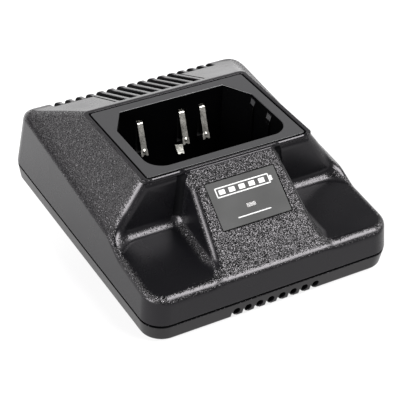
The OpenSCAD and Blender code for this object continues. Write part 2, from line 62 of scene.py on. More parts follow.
def smin(a, b, r):
    return np.maximum(r, np.minimum(a, b)) - np.sqrt(np.maximum(r - a, 0) ** 2 + np.maximum(r - b, 0) ** 2)


def step(a, b, v):
    t = np.clip((v - a) / (b - a), 0, 1)
    return t * t * (3 - 2 * t)


def rbox2(px, py, hx, hy, r):
    """Rounded rectangle about the origin."""
    qx = np.abs(px) - hx + r
    qy = np.abs(py) - hy + r
    return np.sqrt(np.maximum(qx, 0) ** 2 + np.maximum(qy, 0) ** 2) + np.minimum(np.maximum(qx, qy), 0) - r


def cyl(px, py, r):
    return np.sqrt(px * px + py * py) - r


# ---------------------------------------------------------------- upper housing

PITCH = 5.07
POSTS = [(47.6, -38.0), (47.6, 43.0)]
LAB_Y, LAB_Z, LAB_A = -42.1, 37.7284, math.radians(37.0)
JACK_X, JACK_Z = 28.0, 15.2


def on_ramp(x, y, z):
    """Coordinates in the label's own frame: across, up the slope, out of it."""
    dy, dz = y - LAB_Y, z - LAB_Z
    c, s = math.cos(LAB_A), math.sin(LAB_A)
    return x, dy * c + dz * s, dz * c - dy * s


def housing_parts(x, y, z):
    ax = np.abs(x)
    hx = 56 - .0787 * (z - 9)
    yf = -66.5 + .0787 * (z - 9)
    yr = 66.5 - .189 * (z - 9)
    outline = rbox2(x, y - (yf + yr) / 2, hx, (yr - yf) / 2, 9.0)
    ze = 20.95 + .0966 * (y + 66.5)
    xe = 56 - .0787 * (ze - 9)
    k = np.clip((47.2 - ze) / (xe - 38.9), .5, 2)
    slope = (z - 47.2 + (ax - 38.9) * k) / np.sqrt(1 + k * k)
    shelf = (z - 47.94 + .4323 * (y - 28.35)) * .918
    front = (-28.4 + .0804 * (z - 24.6)) - 4.0 * (np.clip(ax - 45.5, 0, 12) / 8) ** 2 - y
    deck = (z - ze) / 1.0047
    ramp = smax((z - (31.66 + .7573 * (y + 50))) * .7972, (z - (43.62 + .5 * (y + 34.1))) * .8944, .5)
    flare = 1.0 * (np.clip(-52.5 - y, 0, 20) / 10) ** 2 + 3.4 * (np.clip(-58.5 - y, 0, 9) / 5) ** 2 + .8 * step(-32.5, -27, y)
    side = ax - (23.5 - .14 * (z - 26)) - flare
    return ax, outline, slope, shelf, front, deck, ramp, side


def housing_skin(x, y, z):
    ax, outline, slope, shelf, front, deck, ramp, side = housing_parts(x, y, z)
    t = smax(slope, shelf, 1.7)
    t = smax(t, z - (47.2 + .75 * step(26.5, 28.3, y)), .3)
    t = smax(t, front, 4.2)
    p = np.maximum(smax(ramp, side, 3.3 + 3.0 * step(-58.5, -64.0, y)), y + 24)
    blend = (3.9 - 1.9 * step(1.5, 6.0, deck)) * (1 - .88 * step(-56.5, -63.5, y))
    u = smin(smin(deck, t, 3.7 + 2.1 * step(44, 52, ax)), p, blend)
    r = 2.4 + 1.1 * step(22, 28, ax) * step(52, 46, ax) * step(-48, -56, y)
    r = r - 1.6 * step(-32, -26, y) + 3.1 * step(50, 60, y)
    return smax(outline, u, r), t, p, u, r, (ax, outline, slope, shelf, front, deck, ramp, side)


def slot_cut(x, y, z, ax):
    u = ax / PITCH
    d = np.abs(u - np.floor(u) - .5) * PITCH - 1.5
    inner = np.maximum(ax - 20.0, 31.9 - y)
    outer = np.maximum(np.maximum(ax - 40.3, 20.6 - ax), 53.4 - y)
    return np.maximum(np.maximum(d, np.minimum(inner, outer)), 21.0 - z)


def mouth(x, y, o=0.0):
    ax = np.abs(x)
    d = smax(ax - (31.9 + o), (-21.3 - o) - y, 8.0 + o)
    d = np.maximum(d, y - (21.5 + o))
    return np.maximum(d, .8575 * ax + .5145 * y - 32.242 - o)


def upper_housing(x, y, z):
    skin, t, p, u, r, parts = housing_skin(x, y, z)
    ax, shelf = parts[0], parts[3]
    lip = smax(rbox2(x, y - .55, 38.9, 27.8, 2.4), z - 48.0, .35 + 1.3 * step(20.5, 23, ax) * step(36.5, 34.5, ax) * step(-20, -25, y))
    lip = np.maximum(lip, 46.4 - z)
    o = smin(skin, lip, .25)
    o = smax(o, -slot_cut(x, y, z, ax), .5)
    # thin grooves beside the slots and along the step line
    groove = np.maximum(np.maximum(np.abs(ax - 21.4) - .42, 31.6 - y), y - 53.6)
    line = np.maximum(np.maximum(np.abs(y - 53.5) - .42, 21.2 - ax), ax - 37.6)
    groove = np.maximum(np.minimum(groove, line), -(skin + .9))
    o = np.maximum(o, -groove)
    # seat of the rim plate and the pocket's hole
    seat = np.maximum(rbox2(x, y - .15, 36.95, 26.4, 1.6), 45.8 - z)
    o = smax(o, -seat, .18)
    # label recess, window opening
    lx, ly, lz = on_ramp(x, y, z)
    rec = np.maximum(rbox2(lx, ly, 16.0, 10.2, .5), -.9 - lz)
    rec = np.maximum(rec, lz - 6)
    o = smax(o, -rec, .12)
    win = np.maximum(np.maximum(np.abs(lx) - 2.5, np.abs(ly + 2.8) - 1.3), np.abs(lz) - 7)
    o = np.maximum(o, -win)
    o = np.maximum(o, -np.maximum(cyl(x - JACK_X, z - JACK_Z, 4.6), 56 - y))
    # inside
    inner = np.maximum(skin + 2.4, z - 44.2)
    s = np.maximum(o, -inner)
    s = np.maximum(s, -np.maximum(mouth(x, y, 1.85), 40.5 - z))
    for px, py in POSTS:
        c = cyl(ax - px, y - py, 3.5)
        s = np.minimum(s, np.maximum(np.maximum(c, skin + .5), 8.4 - z))
        s = np.maximum(s, -np.maximum(cyl(ax - px, y - py, 1.52), z - 17.4))
    base = 9.3 - z + 0 * s
    for px, py in POSTS:
        base = np.maximum(np.minimum(base, 60), -60)
        near = cyl(ax - px, y - py, 3.8)
        base = np.where(near < 0, np.minimum(base, 8.4 - z), base)
    return smax(s, base, .2)


def housing_grain(x, y, z):
    """Millimetres into the grained zone, negative on the smooth faces."""
    skin, t, p, u, r, (ax, outline, slope, shelf, front, deck, ramp, side) = housing_skin(x, y, z)
    r1 = 1.5 + .6 * step(44, 52, ax)
    wall = u + r * .56
    # bright smooth line along the middle of the front edge's rounding
    turn = np.arctan2(np.maximum(outline + r, 0), np.maximum(u + r, .02))
    core = np.abs(turn - .72) * r - .75 + 6 * step(-58.5, -56, y) + 6 * step(47.0, 50.5, ax)
    foot = step(-53.5, -57.5, y)
    floor = np.maximum(np.maximum(r1 - t, (1 - foot) * (2.3 - p) + foot * (.4 - side)), outline + 2.3)
    tower = np.maximum(np.maximum(slope + 2.0, r1 - deck), 1.0 - p)
    back = np.maximum(slope + .7, 27 - y)
    flank = np.maximum(np.maximum(ramp + 2.2, 2.2 - deck), 1.0 - t)
    lip = np.maximum(np.maximum(ax - 38.4, 45.6 - z), np.maximum(-28.2 - y, y - 28.8))
    crest = np.maximum(np.abs(slope - front) - 1.6, 2.0 - deck)
    rill = np.maximum(np.abs(t - deck) - .55, t + deck - 5)
    edge = np.maximum(np.maximum(np.abs(ramp - side) - 1.5, 1.4 - deck), z - 42.5)
    return np.minimum.reduce([wall, core, rill, floor, tower, back, flank, lip, crest, edge])


# ---------------------------------------------------------------- bottom cover

BOSSES = [(37.0, -50.0), (37.0, 52.0)]
FEET = (44.0, 55.0)
VENT_X0, VENT_P = 0.65, 5.23


def bottom_cover(x, y, z):
    ax = np.abs(x)
    ins = .12 * (9 - z)
    o = rbox2(x, y, 55.95 - ins, 66.45 - ins, 9.0)
    o = smax(o, 1.2 - z, 1.2)
    o = smax(o, z - 8.2, .2)
    tongue = np.maximum(rbox2(x, y + .1, 52.9, 63.3, 6.2), np.maximum(4 - z, z - 9.9))
    o = np.minimum(o, tongue)
    o = np.maximum(o, -np.maximum(rbox2(x, y + .1, 51.7, 62.1, 5.2), 3.6 - z))
    for px, py in BOSSES:
        c = cyl(ax - px, y - py, 3.2)
        o = smin(o, np.maximum(c, np.maximum(3.1 - z, z - 7.0)), .4)
        o = np.maximum(o, -np.maximum(cyl(ax - px, y - py, 1.27), 2.6 - z))
    for px, py in POSTS:
        c = cyl(ax - px, y - py, 4.0)
        o = smin(o, np.maximum(c, np.maximum(3.1 - z, z - 8.15)), .4)
        hole = np.minimum(cyl(ax - px, y - py, 1.65), np.maximum(cyl(ax - px, y - py, 3.2), z - 4.6))
        o = smax(o, -hole, .2)
    # front vents: eight round holes, each with a notch beside it in the bottom edge that
    # runs slantwise down and inward under the hole
    i = np.clip(np.round((x - VENT_X0) / VENT_P + 3.5), 0, 7)
    d = x - VENT_X0 - (i - 3.5) * VENT_P
    o = smax(o, -np.maximum(cyl(d, z - 4.25, 1.5), y + 59.6), .15)
    depth = y + 65.9
    zs = z + .847 * depth
    for dd in (d, np.where(i > 6.5, 99.0, d - VENT_P)):
        xs = dd - .594 * depth
        left = np.maximum((-2.1 - .25 * (4.3 - zs) - xs) * .97, zs - 4.3)
        right = np.maximum(xs + .15, 1.83 - np.hypot(xs, zs - 4.25))
        o = smax(o, -np.maximum(smax(left, right, .3), y + 61.0), .25)
    c = cyl(ax - FEET[0], np.abs(y) - FEET[1], 5.6)
    o = smax(o, -np.maximum(c, z - 2.3), .15)
    rec = np.maximum(rbox2(x, y + 3, 25, 15, 1.0), z - 1.9)
    return smax(o, -rec, .12)


# ---------------------------------------------------------------- pocket insert

def pocket_insert(x, y, z):
    ax = np.abs(x)
    plate = smax(rbox2(x, y - .15, 36.15, 25.65, 1.2), z - 48.0, .18)
    plate = np.maximum(plate, 45.9 - z)
    cup = np.maximum(mouth(x, y, 1.6), np.maximum(11.9 - z, z - 46.5))
    o = np.minimum(plate, cup)
    wedge = np.maximum(ax - (33.3 + (z - 39.3) * .278), np.maximum(z - 43.3, 39.3 - z))
    wedge = np.maximum(np.maximum(wedge, 33.0 - ax), np.minimum(np.abs(y + 9), np.abs(y - 4)) - 2.5)
    o = np.minimum(o, wedge)
    m = mouth(x, y)
    rib_y = np.minimum(np.abs(y + 4.9), np.abs(y - 8)) - 1.6
    rib_s = np.maximum(np.maximum(30.8 - ax, (30.8 + (z - 41.5) * .25 - ax) * .970), np.maximum(rib_y, z - 45.9))
    rib_x = np.abs(ax - 12) - 1.6
    rib_f = np.maximum(np.maximum(y + 20.2, (y + 20.2 + (z - 41.5) * .25) * .970), np.maximum(rib_x, z - 45.9))
    cut = smax(smax(m, -np.minimum(rib_s, rib_f), .2), 13.5 - z, .6)
    o = smax(o, -cut, .35)
    for cx in (-15.0, 5.0, 15.0):
        slot = np.maximum(np.abs(x - cx) - 2.1, np.maximum(np.abs(y - 23.0) - 2.5, np.abs(z - 32.6) - 8.6))
        o = smax(o, -slot, .15)
    slot = np.maximum(np.abs(x - .4) - 2.0, np.maximum(np.abs(y - 14.1) - 2.5, z - 15))
    return smax(o, -slot, .15)


# ---------------------------------------------------------------- contacts, in the strip's own frame

LEAN = math.radians(20)
HINGE = (22.0, 40.3)


def blade(x, y, z):
    """x across, y out of the strip toward the back, z up the strip from the bend."""
    ax = np.abs(x)
    # centreline: straight up, then a 70 degree bend to the back and a short tail
    straight = np.where(z < -.49, np.abs(y), 99.0)
    straight = np.maximum(straight, -14.6 - z)
    cy, cz = .7, -.49
    ang = np.arctan2(z - cz, -(y - cy))
    arc = np.where((ang >= 0) & (ang <= math.radians(70)), np.abs(np.sqrt((y - cy) ** 2 + (z - cz) ** 2) - .7), 99.0)
    ey, ez = .46, .168
    ty, tz = math.cos(LEAN), math.sin(LEAN)
    along = (y - ey) * ty + (z - ez) * tz
    off = np.abs(-(y - ey) * tz + (z - ez) * ty)
    tail = np.where(along > -.02, np.maximum(off, along - .3), 99.0)
    d = np.minimum(np.minimum(straight, arc), tail) - .2
    half = 1.3 + .35 * step(-11.0, -12.2, z) - .12 * step(-2.0, 0, z)
    half = 1.3 + .35 * (1 - step(-12.4, -11.2, z)) - .1 * step(-1.5, 0, z)
    o = smax(d, ax - half, .1)
    o = smax(o, -14.6 - z, .1)
    fork = cyl(x, z + 14.75, .75)
    o = smax(o, -fork, .1)
    # pressed dimple, facing the front
    dim = np.sqrt(x * x + (y - .45) ** 2 + (z + 12.4) ** 2) - 1.05
    hollow = np.sqrt(x * x + (y - .62) ** 2 + (z + 12.4) ** 2) - .85
    o = smin(o, np.maximum(dim, y - .1), .12)
    return smax(o, -np.maximum(hollow, -y - .1), .08)


def short_contact(x, y, z):
    """World frame, x from the strip's middle: an upright stem, then a forked head that leans back."""
    ax = np.abs(x)
    stem = smax(np.abs(y - 13.9) - .2, ax - 1.3, .1)
    stem = np.maximum(stem, np.maximum(12.9 - z, z - 25.6))
    # the head in its own frame: v up the head, w out of it
    c, s = math.cos(math.radians(38)), math.sin(math.radians(38))
    v = (z - 26.3) * c + (y - 14.3) * s
    w = (y - 14.3) * c - (z - 26.3) * s
    bow = np.abs(w + .06 * v * v - .25) - .2
    head = smax(bow, ax - (1.62 + .09 * v), .12)
    head = smax(head, np.abs(v + .12 * x) - 2.1, .15)
    head = smax(head, -cyl(x, v + 2.5, .75), .1)
    o = smin(head, stem, .2)
    foot = np.maximum(cyl(y - 13.9, z - 12.9, .45), ax - 1.45)
    return np.minimum(o, foot)


# ---------------------------------------------------------------- small parts

def label_plate(x, y, z):
    o = smax(rbox2(x, y, 15.7, 9.9, .45), np.abs(z + .55) - .3, .08)
    return np.maximum(o, -np.maximum(np.abs(x) - 2.115, np.abs(y + 2.8) - .915))


def window(x, y, z):
    y = y + 2.8
    top = z + .2 + .05 * (1 - np.cos(x * 2 * math.pi / .62)) * .5
    o = smax(smax(np.abs(x) - 2.1, np.abs(y) - .9, .2), top, .1)
    o = np.maximum(o, -8.2 - z)
    flange = np.maximum(np.maximum(np.abs(x) - 3.2, np.abs(y) - 2.1), np.abs(z + 3.85) - .55)
    return np.minimum(o, flange)


def feet(x, y, z):
    r = cyl(np.abs(x) - FEET[0], np.abs(y) - FEET[1], 0)
    o = smax(r - 5.5, -z, .7)
    o = np.maximum(o, z - 2.3)
    o = smax(o, -np.maximum(np.abs(r - 3.4) - .35, z - .35), .12)
    return smax(o, -np.maximum(r - 1.5, z - .6), .15)


# ---------------------------------------------------------------- surface extraction

def lines(lo, hi, h, fine=()):
    """Grid lines h apart, closer near the listed spans (from, to, spacing)."""
    out = [lo]
    while out[-1] < hi:
        x, s = out[-1], h
        for a, b, f in fine:
            s = min(s, f + .35 * max(0.0, a - x, x - b))
        out.append(x + s)
    return np.array(out)


def gradient(f, p, e=.015):
    g = np.empty_like(p)
    for i in range(3):
        q = p.copy()
        q[:, i] += e
        a = f(q[:, 0], q[:, 1], q[:, 2])
        q[:, i] -= 2 * e
        g[:, i] = (a - f(q[:, 0], q[:, 1], q[:, 2])) / (2 * e)
    return g


def contour(f, gx, gy, gz):
    """Points and four-sided faces of the zero surface, corners kept sharp."""
    n = [len(gx), len(gy), len(gz)]
    val = np.empty(n, np.float32)
    for i in range(0, n[0], 24):
        val[i:i + 24] = f(gx[i:i + 24, None, None], gy[None, :, None], gz[None, None, :])
    val[val == 0] = 1e-6
    inside = val < 0
    axes = [gx, gy, gz]
    cells, pts, nrm, quads = [], [], [], []
    stride = ((n[1] - 1) * (n[2] - 1), n[2] - 1, 1)
    count = 0
    for a in range(3):
        lo = [slice(None)] * 3
        hi = [slice(None)] * 3
        lo[a], hi[a] = slice(0, -1), slice(1, None)
        idx = np.nonzero(inside[tuple(lo)] != inside[tuple(hi)])
        idx = np.stack(idx, 1)
        b, c = (a + 1) % 3, (a + 2) % 3
        ok = (idx[:, b] > 0) & (idx[:, c] > 0) & (idx[:, b] < n[b] - 1) & (idx[:, c] < n[c] - 1)
        idx = idx[ok]
        i0 = tuple(idx.T)
        nxt = idx.copy()
        nxt[:, a] += 1
        i1 = tuple(nxt.T)
        f0, f1 = val[i0].astype(float), val[i1].astype(float)
        p0 = np.stack([axes[k][idx[:, k]] for k in range(3)], 1)
        p1 = p0.copy()
        p1[:, a] = axes[a][nxt[:, a]]
        ta, tb, fa, fb = np.zeros(len(f0)), np.ones(len(f0)), f0.copy(), f1.copy()
        for _ in range(3):
            t = ta + (tb - ta) * np.clip(fa / (fa - fb), .02, .98)
            q = p0 + (p1 - p0) * t[:, None]
            ft = f(q[:, 0], q[:, 1], q[:, 2])
            same = (ft < 0) == (fa < 0)
            ta, fa = np.where(same, t, ta), np.where(same, ft, fa)
            tb, fb = np.where(same, tb, t), np.where(same, fb, ft)
        t = ta + (tb - ta) * np.clip(fa / (fa - fb + 1e-12 * (fa == fb)), 0, 1)
        q = p0 + (p1 - p0) * t[:, None]
        pts.append(q)
        nrm.append(gradient(f, q))
        four = []
        for db, dc in ((-1, -1), (0, -1), (0, 0), (-1, 0)):
            cell = idx.copy()
            cell[:, b] += db
            cell[:, c] += dc
            four.append(cell @ np.array(stride))
        four = np.stack(four, 1)
        flip = f0 > 0
        order = four.copy()
        order[flip] = four[flip][:, ::-1]
        quads.append(order)
        cells.append(four)
        count += len(idx)
    pts = np.concatenate(pts)
    nrm = np.concatenate(nrm)
    nrm /= np.linalg.norm(nrm, axis=1, keepdims=True) + 1e-12
    cells = np.concatenate(cells)
    quads = np.concatenate(quads)
    ids, inv = np.unique(cells, return_inverse=True)
    inv = inv.reshape(cells.shape)
    m = len(ids)
    flat = inv.ravel()
    cnt = np.bincount(flat, minlength=m).astype(float)

    def gather(v):
        return np.bincount(flat, weights=np.repeat(v, 4), minlength=m)

    mass = np.stack([gather(pts[:, k]) for k in range(3)], 1) / cnt[:, None]
    ata = np.empty((m, 3, 3))
    for i in range(3):
        for j in range(i, 3):
            ata[:, i, j] = ata[:, j, i] = gather(nrm[:, i] * nrm[:, j])
    dist = (nrm * pts).sum(1)
    atb = np.stack([gather(nrm[:, k] * dist) for k in range(3)], 1)
    atb -= (ata @ mass[:, :, None])[:, :, 0]
    ata += np.eye(3)[None] * (.04 * cnt)[:, None, None]
    move = np.linalg.solve(ata, atb[:, :, None])[:, :, 0]
    k = ids % (n[2] - 1)
    j = (ids // (n[2] - 1)) % (n[1] - 1)
    i = ids // ((n[2] - 1) * (n[1] - 1))
    low = np.stack([gx[i], gy[j], gz[k]], 1)
    high = np.stack([gx[i + 1], gy[j + 1], gz[k + 1]], 1)
    v = np.clip(mass + move, low, high)
    faces = np.searchsorted(ids, quads)
    return v, faces


def mesh_from(name, v, faces):
    me = bpy.data.meshes.new(name)
    w = faces.shape[1]
    me.vertices.add(len(v))
    me.vertices.foreach_set("co", np.ascontiguousarray(v, np.float32).ravel())
    me.loops.add(faces.size)
    me.loops.foreach_set("vertex_index", np.ascontiguousarray(faces, np.int32).ravel())
    me.polygons.add(len(faces))
    me.polygons.foreach_set("loop_start", np.arange(0, faces.size, w, dtype=np.int32))
    me.update(calc_edges=True)
    me.validate()
    return me


def read_mesh(me):
    v = np.empty(len(me.vertices) * 3, np.float32)
    me.vertices.foreach_get("co", v)
    li = np.empty(len(me.loops), np.int32)
    me.loops.foreach_get("vertex_index", li)
    ls = np.empty(len(me.polygons), np.int32)
    me.polygons.foreach_get("loop_start", ls)
    lt = np.empty(len(me.polygons), np.int32)
    me.polygons.foreach_get("loop_total", lt)
    return v.reshape(-1, 3).astype(float), li, ls, lt


def solid(name, f, span, h, fine=((), (), ()), faces=60000, place=None, attr=None):
    """A mesh piece of the field f, thinned to about so many faces, with normals from the field."""
    g = [lines(span[i][0], span[i][1], h, [(a, b, s * 1) for a, b, s in fine[i]]) for i in range(3)]
    v, q = contour(f, *g)
    me = mesh_from(name, v, q)
    ob = bpy.data.objects.new(name, me)
    scene.collection.objects.link(ob)
    tris = 2 * len(q)
    if tris > faces:
        mod = ob.modifiers.new("thin", "DECIMATE")
        mod.ratio = faces / tris
        mod.use_collapse_triangulate = True
        dg = bpy.context.evaluated_depsgraph_get()
        new = bpy.data.meshes.new_from_object(ob.evaluated_get(dg))
        ob.modifiers.clear()
        ob.data = new
        bpy.data.meshes.remove(me)
        me = new
        me.name = name
    v, li, ls, lt = read_mesh(me)
    for _ in range(2):
        val = f(v[:, 0], v[:, 1], v[:, 2])
        gr = gradient(f, v)
        gg = (gr ** 2).sum(1)
        stepv = np.clip(val / np.maximum(gg, .3), -.12, .12)
        v -= gr * stepv[:, None]
    # one normal per face corner: the field's own, taken a little inside the face where the point sits on an edge
    poly = np.repeat(np.arange(len(ls)), lt)
    centre = np.stack([np.bincount(poly, weights=v[li, k]) for k in range(3)], 1) / lt[:, None]
    d = centre[poly] - v[li]
    length = np.linalg.norm(d, axis=1, keepdims=True)
    inset = v[li] + d / np.maximum(length, 1e-6) * np.minimum(.45 * length, .16)
    near = gradient(f, inset)
    near /= np.linalg.norm(near, axis=1, keepdims=True) + 1e-9
    at = gradient(f, v, .03)
    at /= np.linalg.norm(at, axis=1, keepdims=True) + 1e-9
    agree = (near * at[li]).sum(1)
    worst = np.ones(len(v))
    np.minimum.at(worst, li, agree)
    nor = np.where((worst[li] > .955)[:, None], at[li], near)
    if attr:
        for key, fn in attr.items():
            layer = me.attributes.new(key, "FLOAT", "POINT")
            layer.data.foreach_set("value", fn(v[:, 0], v[:, 1], v[:, 2]).astype(np.float32))
    if place is not None:
        m = np.array(place, float)
        v = v @ m[:3, :3].T + m[:3, 3]
        nor = nor @ m[:3, :3].T
    v = np.clip(v, np.array(cad_box[0]) * 1000, np.array(cad_box[1]) * 1000)
    me.vertices.foreach_set("co", (v * MM).astype(np.float32).ravel())
    me.polygons.foreach_set("use_smooth", np.ones(len(ls), bool))
    me.update()
    me.normals_split_custom_set(nor.astype(np.float32))
    return ob


RAMP_FRAME = Matrix.Translation((0, LAB_Y, LAB_Z)) @ Matrix.Rotation(LAB_A, 4, "X")

# ---------------------------------------------------------------- node materials

GRAIN_LEAN = .79

def material(name):
    m = bpy.data.materials.new(name)
    m.use_nodes = True
    nt = m.node_tree
    nt.nodes.clear()
    out = nt.nodes.new("ShaderNodeOutputMaterial")
    b = nt.nodes.new("ShaderNodeBsdfPrincipled")
    nt.links.new(b.outputs[0], out.inputs[0])
    return m, nt, b


def node(nt, kind, ins=None, **props):
    n = nt.nodes.new(kind)
    for k, v in props.items():
        setattr(n, k, v)
    for k, v in (ins or {}).items():
        if isinstance(v, bpy.types.NodeSocket):
            nt.links.new(v, n.inputs[k])
        else:
            n.inputs[k].default_value = v
    return n


def coords(nt):
    return node(nt, "ShaderNodeTexCoord").outputs["Object"]


def noise(nt, vec, scale, detail=2.0, rough=.5, distortion=0.0):
    n = node(nt, "ShaderNodeTexNoise", {"Vector": vec, "Scale": scale, "Detail": detail, "Roughness": rough, "Distortion": distortion})
    return n.outputs["Fac"]


def remap(nt, v, a, b, c, d, smooth=False):
    n = node(nt, "ShaderNodeMapRange", {0: v, 1: a, 2: b, 3: c, 4: d})
    n.interpolation_type = "SMOOTHSTEP" if smooth else "LINEAR"
    n.clamp = True
    return n.outputs[0]


def math_node(nt, op, a, b=0.0):
    n = node(nt, "ShaderNodeMath", {0: a, 1: b})
    n.operation = op
    return n.outputs[0]


def mix_colour(nt, fac, a, b):
    n = nt.nodes.new("ShaderNodeMix")
    n.data_type = "RGBA"
    for s, v in ((n.inputs[0], fac), (n.inputs[6], a), (n.inputs[7], b)):
        if isinstance(v, bpy.types.NodeSocket):
            nt.links.new(v, s)
        else:
            s.default_value = v if isinstance(v, (int, float)) else (*v, 1.0)[:4]
    return n.outputs[2]


def mix_value(nt, fac, a, b):
    n = nt.nodes.new("ShaderNodeMix")
    n.data_type = "FLOAT"
    for s, v in ((n.inputs[0], fac), (n.inputs[2], a), (n.inputs[3], b)):
        if isinstance(v, bpy.types.NodeSocket):
            nt.links.new(v, s)
        else:
            s.default_value = v
    return n.outputs[0]


def bump(nt, height, distance, strength=1.0, normal=None):
    n = node(nt, "ShaderNodeBump", {"Height": height, "Distance": distance, "Strength": strength})
    if normal is not None:
        nt.links.new(normal, n.inputs["Normal"])
    return n.outputs[0]


def grey(v, tint=(1, 1, 1)):
    return (v * tint[0], v * tint[1], v * tint[2])


def finish_plastic(name, base, rough, grain_scale, grain_depth, tint=(1, 1, 1), vary=.18, ior=1.5, haze=.5):
    """Moulded plastic, one texture all over: cloudy colour, fine bump and faint wear in the gloss."""
    m, nt, b = material(name)
    co = coords(nt)
    cloud = noise(nt, co, 60, 3)
    fine = noise(nt, co, grain_scale, 1.5)
    dark, light = grey(base * (1 - vary), tint), grey(base * (1 + vary), tint)
    nt.links.new(mix_colour(nt, mix_value(nt, .4, cloud, fine), dark, light), b.inputs["Base Color"])
    nt.links.new(remap(nt, cloud, .3, .7, rough - .04, rough + .05), b.inputs["Roughness"])
    nt.links.new(bump(nt, fine, grain_depth, haze), b.inputs["Normal"])
    b.inputs["IOR"].default_value = ior
    b.inputs["Specular Tint"].default_value = (1, .95, 1, 1)
    return m


def sparkle(nt, co, scale, amount):
    """Normal leaned a random way on each small grain."""
    cell = node(nt, "ShaderNodeTexVoronoi", {"Vector": co, "Scale": scale, "Randomness": 1.0}, feature="F1")
    off = node(nt, "ShaderNodeVectorMath", {0: cell.outputs["Color"], 1: (.5, .5, .5)}, operation="SUBTRACT")
    lean = node(nt, "ShaderNodeVectorMath", {0: off.outputs[0], "Scale": amount}, operation="SCALE")
    g = node(nt, "ShaderNodeNewGeometry")
    both = node(nt, "ShaderNodeVectorMath", {0: g.outputs["Normal"], 1: lean.outputs[0]}, operation="ADD")
    return node(nt, "ShaderNodeVectorMath", {0: both.outputs[0]}, operation="NORMALIZE").outputs[0], cell.outputs["Color"]


def housing_material():
    m, nt, b = material("housing_black")
    co = coords(nt)
    zone = node(nt, "ShaderNodeAttribute", attribute_name="grain_d", attribute_type="GEOMETRY").outputs["Fac"]
    ragged = math_node(nt, "ADD", zone, remap(nt, noise(nt, co, 1900, 1), .3, .7, -.5, .5))
    mask = remap(nt, ragged, -.35, .55, 0, 1)
    leaned, tone = sparkle(nt, co, 4400.0, GRAIN_LEAN)
    height = noise(nt, co, 3400, 2.0, .6)
    satin = noise(nt, co, 2600, 1)
    cloud = noise(nt, co, 45, 3)
    plain_n = bump(nt, satin, .00001, .3)
    grain_n = bump(nt, height, .00003, .6, leaned)
    nrm = nt.nodes.new("ShaderNodeMix")
    nrm.data_type = "VECTOR"
    nt.links.new(mask, nrm.inputs[0])
    nt.links.new(plain_n, nrm.inputs[4])
    nt.links.new(grain_n, nrm.inputs[5])
    nt.links.new(nrm.outputs[1], b.inputs["Normal"])
    smooth_c = mix_colour(nt, cloud, (.0013, .0013, .0017), (.0024, .0024, .0030))
    fleck = node(nt, "ShaderNodeSeparateColor", {0: tone}).outputs[0]
    grain_c = mix_colour(nt, math_node(nt, "POWER", fleck, 3.5), (.001, .001, .0011), (.062, .0605, .062))
    nt.links.new(mix_colour(nt, mask, smooth_c, grain_c), b.inputs["Base Color"])
    smooth_r = remap(nt, cloud, .3, .7, .24, .3)
    grain_r = remap(nt, height, .3, .7, .08, .16)
    nt.links.new(mix_value(nt, mask, smooth_r, grain_r), b.inputs["Roughness"])
    b.inputs["IOR"].default_value = 1.36
    b.inputs["Specular Tint"].default_value = (1, .96, 1, 1)
    return m


def metal(name, colour, rough, scale=900, spread=.12, depth=.00001, blotch=.25, tarnish=(.2, .17, .13)):
    m, nt, b = material(name)
    co = coords(nt)
    a = noise(nt, co, scale, 3, .6)
    c = noise(nt, co, scale * 3, 2)
    dull = tuple(x * (1 - blotch) + t * blotch for x, t in zip(colour, tarnish))
    nt.links.new(mix_colour(nt, remap(nt, a, .35, .65, 0, 1), dull, colour), b.inputs["Base Color"])
    nt.links.new(remap(nt, a, .3, .7, rough + spread, max(.06, rough - spread)), b.inputs["Roughness"])
    nt.links.new(bump(nt, c, depth, .6), b.inputs["Normal"])
    b.inputs["Metallic"].default_value = 1.0
    return m


def speckled(name, c1, c2, rough, scale, metallic=0.0, depth=.00002, transmission=0.0, ior=1.5):
    m, nt, b = material(name)
    co = coords(nt)
    a = noise(nt, co, scale, 3, .55)
    f = noise(nt, co, scale * 6, 2)
    nt.links.new(mix_colour(nt, remap(nt, a, .35, .65, 0, 1), c1, c2), b.inputs["Base Color"])
    nt.links.new(remap(nt, f, .3, .7, rough - .05, rough + .07), b.inputs["Roughness"])
    nt.links.new(bump(nt, f, depth, .5), b.inputs["Normal"])
    b.inputs["Metallic"].default_value = metallic
    b.inputs["Transmission Weight"].default_value = transmission
    b.inputs["IOR"].default_value = ior
    return m


def striped(name, base, dark, axis, pitch, width, rough=.45, metallic=0.0):
    """Colour with bands along an axis, for copper tracks, sleeves and coded parts."""
    m, nt, b = material(name)
    co = coords(nt)
    sep = node(nt, "ShaderNodeSeparateXYZ", {0: co})
    wob = noise(nt, co, 300, 2)
    u = math_node(nt, "FRACT", math_node(nt, "ADD", math_node(nt, "MULTIPLY", sep.outputs[axis], 1 / pitch), math_node(nt, "MULTIPLY", wob, .03)))
    band = math_node(nt, "LESS_THAN", u, width)
    cl = mix_colour(nt, noise(nt, co, 400, 3), tuple(c * .85 for c in base), base)
    nt.links.new(mix_colour(nt, band, cl, dark), b.inputs["Base Color"])
    nt.links.new(remap(nt, wob, .3, .7, rough - .06, rough + .06), b.inputs["Roughness"])
    nt.links.new(bump(nt, noise(nt, co, 1500, 2), .00002, .5), b.inputs["Normal"])
    b.inputs["Metallic"].default_value = metallic
    return m


def board_material():
    m, nt, b = material("board_green")
    co = coords(nt)
    sep = node(nt, "ShaderNodeSeparateXYZ", {0: co})
    grid = node(nt, "ShaderNodeTexBrick", {"Vector": co, "Scale": 90.0, "Mortar Size": .06, "Color1": (.015, .11, .03, 1), "Color2": (.02, .14, .04, 1), "Mortar": (.03, .2, .07, 1)})
    cloud = noise(nt, co, 120, 3)
    nt.links.new(mix_colour(nt, remap(nt, cloud, .3, .7, .1, .6), grid.outputs["Color"], (.012, .08, .025)), b.inputs["Base Color"])
    nt.links.new(remap(nt, cloud, .3, .7, .28, .4), b.inputs["Roughness"])
    nt.links.new(bump(nt, grid.outputs["Fac"], .00003, .5), b.inputs["Normal"])
    return m


